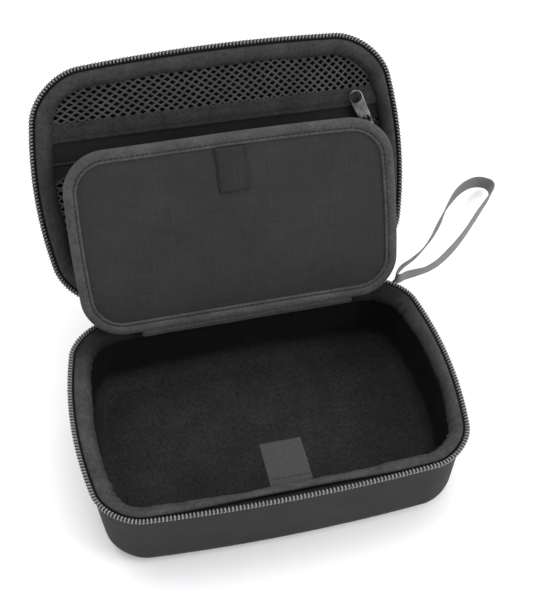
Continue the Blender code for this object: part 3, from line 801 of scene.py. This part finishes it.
def panel(name, ends, low, high, level, thick, at, material, body, nodes, columns, steps):
    """A thin panel between two values of y; ends and level are functions."""
    ys = np.linspace(low, high, steps)
    loop = [(y, 1) for y in ys] + [(y, -1) for y in ys[::-1]]
    t = np.linspace(0, 1, columns)
    rows = []
    for index, (y, side) in enumerate(loop):
        left, right = ends(y)
        x = left * (1 - t) + right * t
        rim_drop = 0.35 if index in (0, steps - 1, steps, 2 * steps - 1) else 0.0
        z = level(x, np.full(columns, y)) + side * thick / 2 * (1 - rim_drop)
        rows.append(np.c_[x, np.full(columns, y), z])
    skin(name, rows, at, material, body, nodes, loop=True, around=False, flat=True)


PATCH_X, PATCH_HALF = 3.0, 9.25
PATCH_LOW, PATCH_TOP = 82.25, 109.75


def patch_ends(y):
    """The patch's slightly wavy sides."""
    return (PATCH_X - PATCH_HALF + 0.15 * math.sin(y / 3),
            PATCH_X + PATCH_HALF + 0.15 * math.cos(y / 4))


def patch_level(x, y):
    return 3.0 + 0.22 * np.cos((x - PATCH_X) / 4.0)


panel("divider_patch_cloth", patch_ends, PATCH_LOW, PATCH_TOP, patch_level, 0.9, divider_at, PATCH,
      "divider", ["divider_patch"], 24, 24)
seam_x, seam_low, seam_top = PATCH_HALF - 1.0, PATCH_LOW + 1.1, PATCH_TOP - 1.1
corners = [(-seam_x, seam_top), (-seam_x, seam_low), (seam_x, seam_low), (seam_x, seam_top)]
seam = resample([(PATCH_X + x, y, 3.42) for x, y in corners], 90, False)
stitches("divider_patch_stitches", seam, "divider", divider_at, 2.3, 1.6, 0.4, False)


# ---------------------------------------- pocket in the lid
OPENING = rim(LID_CORNER)
OPENING = OPENING + inward(OPENING) * (FACING_EDGE - 3.4)
OPENING = np.c_[OPENING[:, 0], HINGE_Y - OPENING[:, 1]]


def opening_ends(y):
    """Left and right ends of the lid's opening at a local y."""
    right = OPENING[OPENING[:, 0] > 0]
    right = right[np.argsort(right[:, 1])]
    x = float(np.interp(y, right[:, 1], right[:, 0]))
    return -x, x


def sagging(x, y):
    return POCKET_LEVEL + 0.25 * np.sin(x / 31.0 + y / 19.0) - 0.35 * np.cos(x / 70.0)


def tape_level(x, y):
    return sagging(x, y) - 0.5


TAPE_LOW, TAPE_HIGH = POCKET_ZIP - 1.45 - 8.9, POCKET_ZIP + 1.45
BAND_LOW = TAPE_HIGH + 8.9 + 0.35
BAND_HIGH = BAND_LOW + 10.4
TOP_Y, BOTTOM_Y = OPENING[:, 1].max(), OPENING[:, 1].min()


def hung(points):
    """The lid's flat frame; the band and the net above the zip rise a little to the left."""
    p = np.array(points, float)
    up = np.clip((p[..., 1] - POCKET_ZIP - 2.0) / (BAND_LOW - POCKET_ZIP - 2.0), 0, 1)
    down = np.clip((TOP_Y - 3.0 - p[..., 1]) / (TOP_Y - 3.0 - BAND_HIGH), 0, 1)
    p[..., 1] += (1.2 - 0.013 * p[..., 0]) * np.minimum(up, down)
    return to_world(LID, p)


panel("pocket_tape_low_cloth", opening_ends, TAPE_LOW - 0.5, POCKET_ZIP - 0.5, tape_level, 0.6,
      hung, TAPE, "lid", ["pocket_tape_lower"], 90, 10)
panel("pocket_tape_high_cloth", opening_ends, POCKET_ZIP + 0.5, BAND_LOW + 0.6, tape_level, 0.6,
      hung, TAPE, "lid", ["pocket_tape_upper"], 90, 10)


def band_level(x, y):
    """A puffed band with two rows of stitches sunk into it."""
    share = (y - BAND_LOW) / (BAND_HIGH - BAND_LOW)
    puff = 0.55 * np.sin(np.clip(share, 0, 1) * math.pi)
    rows_of_stitches = 0.28 * (np.exp(-((y - BAND_LOW - 2.2) / 0.7) ** 2)
                               + np.exp(-((y - BAND_HIGH + 2.2) / 0.7) ** 2))
    return sagging(x, y) + 0.5 + puff - rows_of_stitches + 0.1 * np.sin(x / 1.7) * np.sin(share * 3)


panel("pocket_band_cloth", opening_ends, BAND_LOW - 0.4, BAND_HIGH + 0.6, band_level, 0.9, hung,
      POCKET_CLOTH, "lid", ["pocket_band"], 240, 18)
for k, y in enumerate((BAND_LOW + 2.2, BAND_HIGH - 2.2)):
    left, right = opening_ends(y)
    xs = np.linspace(left + 2, right - 2, 160)
    seam = np.c_[xs, np.full(160, y), band_level(xs, np.full(160, y)) + 0.42]
    stitches(f"pocket_band_stitches_{k}", seam, "lid", hung, 3.0, 2.0, 0.42, False)


NET_SLANT = 0.0007


def net(name, low, high, node):
    """Diamond net: rounded holes in a staggered lattice, cut to the opening."""
    half_w, half_h, hole_w, hole_h = 2.8, 2.4, 0.74, 0.62
    build = bmesh.new()
    rhombus, middle, inner = [], [], []
    for start, end in (((1, 0), (0, 1)), ((0, 1), (-1, 0)), ((-1, 0), (0, -1)), ((0, -1), (1, 0))):
        for share in (0.0, 1 / 3, 2 / 3):
            x = start[0] * (1 - share) + end[0] * share
            y = start[1] * (1 - share) + end[1] * share
            rhombus.append((x * half_w, y * half_h))
            pull = 0.95 if share == 0 else 1.07
            middle.append((x * half_w * 0.84, y * half_h * 0.80))
            inner.append((x * half_w * hole_w * pull, y * half_h * hole_h * pull))
    for j in range(-2, int((high - low) / half_h) + 3):
        cy = low + j * half_h
        for i in range(-45, 46):
            cx = i * half_w
            if (i + j) % 2 or not low - 1 <= cy <= high + 1:
                continue
            left, right = opening_ends(min(max(cy, BOTTOM_Y), TOP_Y))
            if not left - 1 <= cx - NET_SLANT * cx * cx <= right + 1:
                continue
            rings = []
            for shape, lift in ((rhombus, 0.26), (middle, 0.05), (inner, -0.24)):
                ring_verts = []
                for dx, dy in shape:
                    x, y = cx + dx, cy + dy
                    x -= NET_SLANT * x * x
                    x += 0.35 * math.sin(y / 13.0 + x / 40.0) + 0.12 * math.sin(x / 3.1 + y)
                    y += 0.5 * math.sin(x / 23.0) + 0.3 * math.sin(x / 7.0 + y / 9.0)
                    z = float(sagging(x, y)) + lift + 0.15 * math.sin(x / 9.0) * math.sin(y / 8.0)
                    ring_verts.append(build.verts.new((x, y, z)))
                rings.append(ring_verts)
            for k in range(12):
                after = (k + 1) % 12
                for a, b in zip(rings, rings[1:]):
                    build.faces.new((a[k], a[after], b[after], b[k]))
    bmesh.ops.remove_doubles(build, verts=build.verts, dist=0.02)
    verts, faces = read_out(build)
    uv = verts[np.concatenate(faces), :2]
    piece = make(name, hung(verts), faces, NET, None, uv=uv, solid=False)
    thicken = piece.modifiers.new("Solidify", "SOLIDIFY")
    thicken.thickness, thicken.offset = 0.42 * MM, 0.0
    graph = bpy.context.evaluated_depsgraph_get()
    solid = bpy.data.meshes.new_from_object(piece.evaluated_get(graph))
    piece.modifiers.clear()
    piece.data = solid
    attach(piece, "lid")
    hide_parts(node)


net("pocket_net_upper", BAND_HIGH - 0.5, TOP_Y - 0.5, "pocket_mesh_upper")
net("pocket_net_lower", BOTTOM_Y + 0.5, TAPE_LOW - 0.5, "pocket_mesh_lower")

left, right = opening_ends(POCKET_ZIP)
line = np.c_[np.linspace(left + 0.6, right - 0.6, 200), np.full(200, POCKET_ZIP)]
side = np.tile((0.0, 1.0), (200, 1))
coil("pocket_teeth", line, side, 0.0, POCKET_LEVEL, 0.95, 0.8, 1.5, 0.33, lid_flat, POCKET_COIL,
     "lid", ["pocket_coil"])


# ---------------------------------------- sliders and pulls
def cut_plate(name, outlines, thick, bevel, level, at, body, nodes):
    """A flat outline with holes and rounded edges, as a mesh in a slider's frame."""
    data = bpy.data.curves.new(name + "_outline", "CURVE")
    data.dimensions, data.fill_mode = "2D", "BOTH"
    for shape in outlines:
        spline = data.splines.new("POLY")
        spline.points.add(len(shape) - 1)
        for control, (x, y) in zip(spline.points, shape):
            control.co = (x, y, 0, 1)
        spline.use_cyclic_u = True
    data.extrude, data.bevel_depth, data.bevel_resolution = thick / 2 - bevel, bevel, 3
    data.offset = -bevel
    source = bpy.data.objects.new(name + "_source", data)
    bpy.context.scene.collection.objects.link(source)
    graph = bpy.context.evaluated_depsgraph_get()
    mesh = bpy.data.meshes.new_from_object(source.evaluated_get(graph))
    bpy.data.objects.remove(source, do_unlink=True)
    build = bmesh.new()
    build.from_mesh(mesh)
    bpy.data.meshes.remove(mesh)
    bmesh.ops.remove_doubles(build, verts=build.verts, dist=0.001)
    verts, faces = read_out(build)
    make(name, at(verts + (0, 0, level)), faces, METAL, body, nodes, auto=40)


def arc(centre, radius, start, sweep, steps):
    a = np.radians(start + sweep * np.arange(steps + 1) / steps)
    return [(centre[0] + radius * math.cos(t), centre[1] + radius * math.sin(t)) for t in a]


def slider(prefix, matrix, body, pull_body):
    """A cast slider body with rails and a crown, and its pressed teardrop pull."""
    def placed(points):
        return to_world(matrix, points)

    plate = arc((2.9, -3.9), 1.1, -90, 90, 5) + arc((0, 0.9), 4.0, 0, 180, 20)
    plate += arc((-2.9, -3.9), 1.1, 180, 90, 5)
    cut_plate(prefix + "_slider_body", [plate], 1.5, 0.45, 0.85, placed, body,
              [prefix + "_slider"])
    rails = []
    for x in (-3.35, 3.35):
        rails.append(tube([(x, -4.4, 0.1), (x, -2, -0.1), (x, 1.0, -0.1), (x * 0.8, 3.0, 0.1)],
                          (0.5, 0.62, 0.62, 0.45), 10))
    rails.append(tube([(0, 2.2, 1.3), (0, 1.2, 1.75), (0, 0, 1.8), (0, -1.2, 1.75), (0, -2.6, 1.3)],
                      (0.5, 0.9, 1.0, 0.9, 0.5), 10))
    rods(prefix + "_slider_rails", rails, placed, METAL, body)
    arch = [(0, -2.6, 1.5), (0, -2.55, 3.0), (0, -2.2, 4.1), (0, -1.2, 4.65), (0, 0.2, 4.7),
            (0, 1.4, 4.4), (0, 2.3, 3.5), (0, 2.6, 2.4), (0, 2.6, 1.5)]
    verts, faces = tube(resample(arch, 30, False), 0.5, 10)
    verts[:, 0] *= 1.9
    make(prefix + "_crown_arch", placed(verts), faces, METAL, body,
         [prefix + "_slider_crown"])
    centre_y = PULL_LENGTH - PULL_WIDTH / 2
    shape = arc((3.1, 0.1), 0.85, -90, 90, 4) + arc((0, centre_y), PULL_WIDTH / 2, -12, 204, 36)
    shape += arc((-3.1, 0.1), 0.85, 180, 90, 4)
    hole = arc((0, centre_y), PULL_HOLE / 2, 0, 360, 32)[:-1]
    slot = arc((1.4, 1.45), 0.7, -90, 90, 4) + arc((1.4, 3.3), 0.7, 0, 90, 4)
    slot += arc((-1.4, 3.3), 0.7, 90, 90, 4) + arc((-1.4, 1.45), 0.7, 180, 90, 4)
    cut_plate(prefix + "_pull_tab", [shape, hole, slot], 1.4, 0.42, 3.0, placed, pull_body,
              [prefix + "_pull"])


POCKET_SLIDER = (93.96, POCKET_ZIP, -5.95)
tilt = math.radians(20.0)
turn = axes((0, 0, 0), (math.cos(tilt), math.sin(tilt), 0), (-math.sin(tilt), math.cos(tilt), 0),
            (0, 0, 1))
seat = np.eye(4)
seat[:3, 3] = POCKET_SLIDER
slider("pocket", LID @ seat @ turn, "pocket_slider", "pocket_pull")
COIL_END = CASE_WIDTH / 2 - SIDE_BOW - BASE_CORNER
for side_sign, name in ((-1, "left"), (1, "right")):
    seat = axes((side_sign * COIL_END, CASE_DEPTH / 2 + 0.35, BASE_HEIGHT - 7.0), (1, 0, 0),
                (0, 0, -1), (0, 1, 0))
    slider(name, seat, "base", name + "_pull")


# ---------------------------------------- hook tab
TAB_X, TAB_HALF, TAB_Z = 1.5, 12.25, 47.8
TAB_FRONT, TAB_BACK, TAB_SEAM = -62.4, -32.5, -58.0
columns = np.linspace(-TAB_HALF, TAB_HALF, 121)
lengths = np.linspace(TAB_FRONT, TAB_BACK, 40)
share = (lengths - TAB_FRONT) / (TAB_BACK - TAB_FRONT)
bend = 0.35 * np.sin(share * math.pi) - 0.5 * share ** 2
ribs = 0.13 * np.cos(columns / 1.225 * 2 * math.pi)
ribs -= 0.45 * np.clip((np.abs(columns) - TAB_HALF + 0.8) / 0.8, 0, 1) ** 2
rows = []
for side in (1, -1):
    for x, lift in zip(columns[::side], ribs[::side]):
        rows.append(np.c_[np.full(40, TAB_X + x), lengths, TAB_Z + bend + side * (0.66 + lift)])
skin("hook_tab_webbing", rows, in_place, WEB, "hook_tab", ["hook_tab"], loop=True,
     around=False)
seam_z = TAB_Z + np.interp(TAB_SEAM, lengths, bend) + 0.8
seam = [(x, TAB_SEAM, seam_z) for x in np.linspace(TAB_X - 11.5, TAB_X + 11.5, 40)]
stitches("hook_tab_stitches", seam, "hook_tab", in_place, 1.9, 1.3, 0.4, False)


# ---------------------------------------- wrist strap
STRAP_ROOT = (104.647, 71.43, 49.0)
AZIMUTH, SLOPE = math.radians(46.4), math.radians(14.6)
across = (-math.sin(AZIMUTH), math.cos(AZIMUTH), 0)
along = (math.cos(AZIMUTH) * math.cos(SLOPE), math.sin(AZIMUTH) * math.cos(SLOPE), -math.sin(SLOPE))
over = tuple(np.cross(along, across))
STRAP = axes(STRAP_ROOT, along, across, over)
STRAP_LINE = (
    (0, 1.7), (9, 3.0), (22, 2.4), (38, 1.4), (56, 1.9), (74, 4.0), (92, 7.4), (110, 10.4),
    (126, 12.2), (142, 12.8), (156, 11.2), (164.5, 7.8), (168, 2.8), (167, -2.8), (161, -6.2),
    (151, -8.0), (135, -9.0), (115, -10.4), (92, -12.2), (70, -13.0), (50, -12.6), (34, -11.2),
    (21, -8.6), (12, -5.4), (5, -2.8), (0, -1.7), (-1.7, 0),
)


def spline(points, steps=16):
    """A closed smooth curve through points."""
    p = np.array(points, float)
    made = []
    for k in range(len(p)):
        a, b, c, d = (p[(k + j) % len(p)] for j in (-1, 0, 1, 2))
        for t in np.arange(steps) / steps:
            made.append(0.5 * (2 * b + (c - a) * t + (2 * a - 5 * b + 4 * c - d) * t * t
                               + (3 * b - a - 3 * c + d) * t ** 3))
    return np.array(made)


# the ribbon rises and turns a little along its way, and is gathered and raised at its root
loop_line = resample(spline(STRAP_LINE), 360, True)
loop_normal = inward(loop_line)
out = loop_line[:, 0]
rise = 2.2 * np.sin(np.clip(out / 168.0, 0, 1) * math.pi) * np.where(loop_line[:, 1] > 0, 1.0, -0.6)
rise = rise + 3.6 * np.exp(-(out / 26.0) ** 2)
slim = np.interp(out, (0, 20, 80, 130), (0.0, 0.40, 0.34, 0.0))
turn_in = np.interp(out, (0, 20, 55, 120, 160), (0.0, -0.36, -0.04, 0.0, -0.2))
roll_angle = np.where(loop_line[:, 1] > 0, slim, turn_in)
gather = np.interp(out, (0, 8, 45), (0.72, 0.8, 1.0))
c, s = np.cos(roll_angle), np.sin(roll_angle)
section = [(-0.5, -4.5), (-0.55, -3.9), (-0.42, -2.0), (-0.42, 2.0), (-0.55, 3.9), (-0.5, 4.5)]
section += [(-d, z) for d, z in reversed(section)]
rows = []
for d, z in section:
    reach = z * gather
    rows.append(ring(loop_line, loop_normal, d * c - reach * s, d * s + reach * c + rise))
skin("wrist_strap_ribbon", rows, lambda p: to_world(STRAP, p), STRAP_TAPE, "wrist_strap",
     ["wrist_strap"], loop=True)

# its sewn anchor, narrower and higher towards the tip
ANCHOR_BACK, ANCHOR_TIP = -9.2, -2.6
anchor = axes(STRAP_ROOT, (math.cos(AZIMUTH), math.sin(AZIMUTH), 0), across, (0, 0, 1))
xs = np.linspace(ANCHOR_BACK, ANCHOR_TIP, 12)
taper = np.interp(xs, (ANCHOR_BACK, -4.5, ANCHOR_TIP), (1.0, 0.95, 0.5))
flatter = np.interp(xs, (ANCHOR_BACK, ANCHOR_TIP), (1.0, 0.8))
lift = np.interp(xs, (ANCHOR_BACK, ANCHOR_TIP), (0.4, 3.3))
rows = []
for k in range(20):
    a = 2 * math.pi * k / 20
    y, z = math.cos(a), math.sin(a)
    y = math.copysign(abs(y) ** 0.5, y) * 1.75
    z = math.copysign(abs(z) ** 0.5, z) * 2.9
    rows.append(np.c_[xs, y * taper, z * flatter + lift])
skin("strap_anchor_webbing", rows, lambda p: to_world(anchor, p), WEB, "base",
     ["strap_anchor"], loop=True, around=False)


# ---------------------------------------- camera, floor and light
def floor_material():
    n = Nodes("studio_floor")
    grain = n.noise(n.place(), 0.02, 2.0)
    return n.done(n.grey(n.ramp(grain, 0.93, 0.95)), 0.9, specular=0.1)


bpy.ops.mesh.primitive_plane_add(size=8, location=(0, 0, 0))
floor = bpy.context.object
floor.name = "studio_floor"
floor.data.materials.append(floor_material())

world = bpy.data.worlds.new("studio")
bpy.context.scene.world = world
world.use_nodes = True
tree = world.node_tree
look = tree.nodes.new("ShaderNodeTexCoord")
height = tree.nodes.new("ShaderNodeSeparateXYZ")
sky = tree.nodes.new("ShaderNodeMapRange")
for key, value in (("From Min", 0.0), ("From Max", 0.7), ("To Min", 1.02), ("To Max", 1.04)):
    sky.inputs[key].default_value = value
tree.links.new(look.outputs["Generated"], height.inputs[0])
tree.links.new(height.outputs["Z"], sky.inputs["Value"])
tree.links.new(sky.outputs["Result"], tree.nodes["Background"].inputs["Strength"])
tree.nodes["Background"].inputs["Color"].default_value = (1, 1, 1, 1)


def softbox(name, place, target, size, power):
    data = bpy.data.lights.new(name, "AREA")
    data.shape, data.size, data.energy = "SQUARE", size, power
    lamp = bpy.data.objects.new(name, data)
    lamp.location = place
    lamp.rotation_euler = (Vector(target) - Vector(place)).to_track_quat("-Z", "Y").to_euler()
    bpy.context.scene.collection.objects.link(lamp)


softbox("key", place=(-0.1, 0.6, 1.4), target=(0, 0, 0.05), size=1.5, power=13.0)
softbox("fill", place=(1.0, -0.6, 0.75), target=(0.1, 0.1, 0.12), size=0.7, power=9.0)

camera_data = bpy.data.cameras.new("camera")
camera_data.sensor_width, camera_data.lens = 36.0, 70.485
camera_data.clip_start, camera_data.clip_end = 0.01, 20.0
camera = bpy.data.objects.new("camera", camera_data)
right_axis = Vector((0.97430, -0.22502, 0.01026))
up_axis = Vector((0.16108, 0.72785, 0.66655))
back_axis = Vector((-0.15746, -0.64778, 0.74539))
turned = Matrix((right_axis, up_axis, back_axis)).transposed().to_4x4()
camera.matrix_world = Matrix.Translation(Vector((-0.098483, -0.405781, 0.604192))) @ turned
bpy.context.scene.collection.objects.link(camera)
bpy.context.scene.camera = camera
bpy.context.scene.view_settings.view_transform = "Standard"
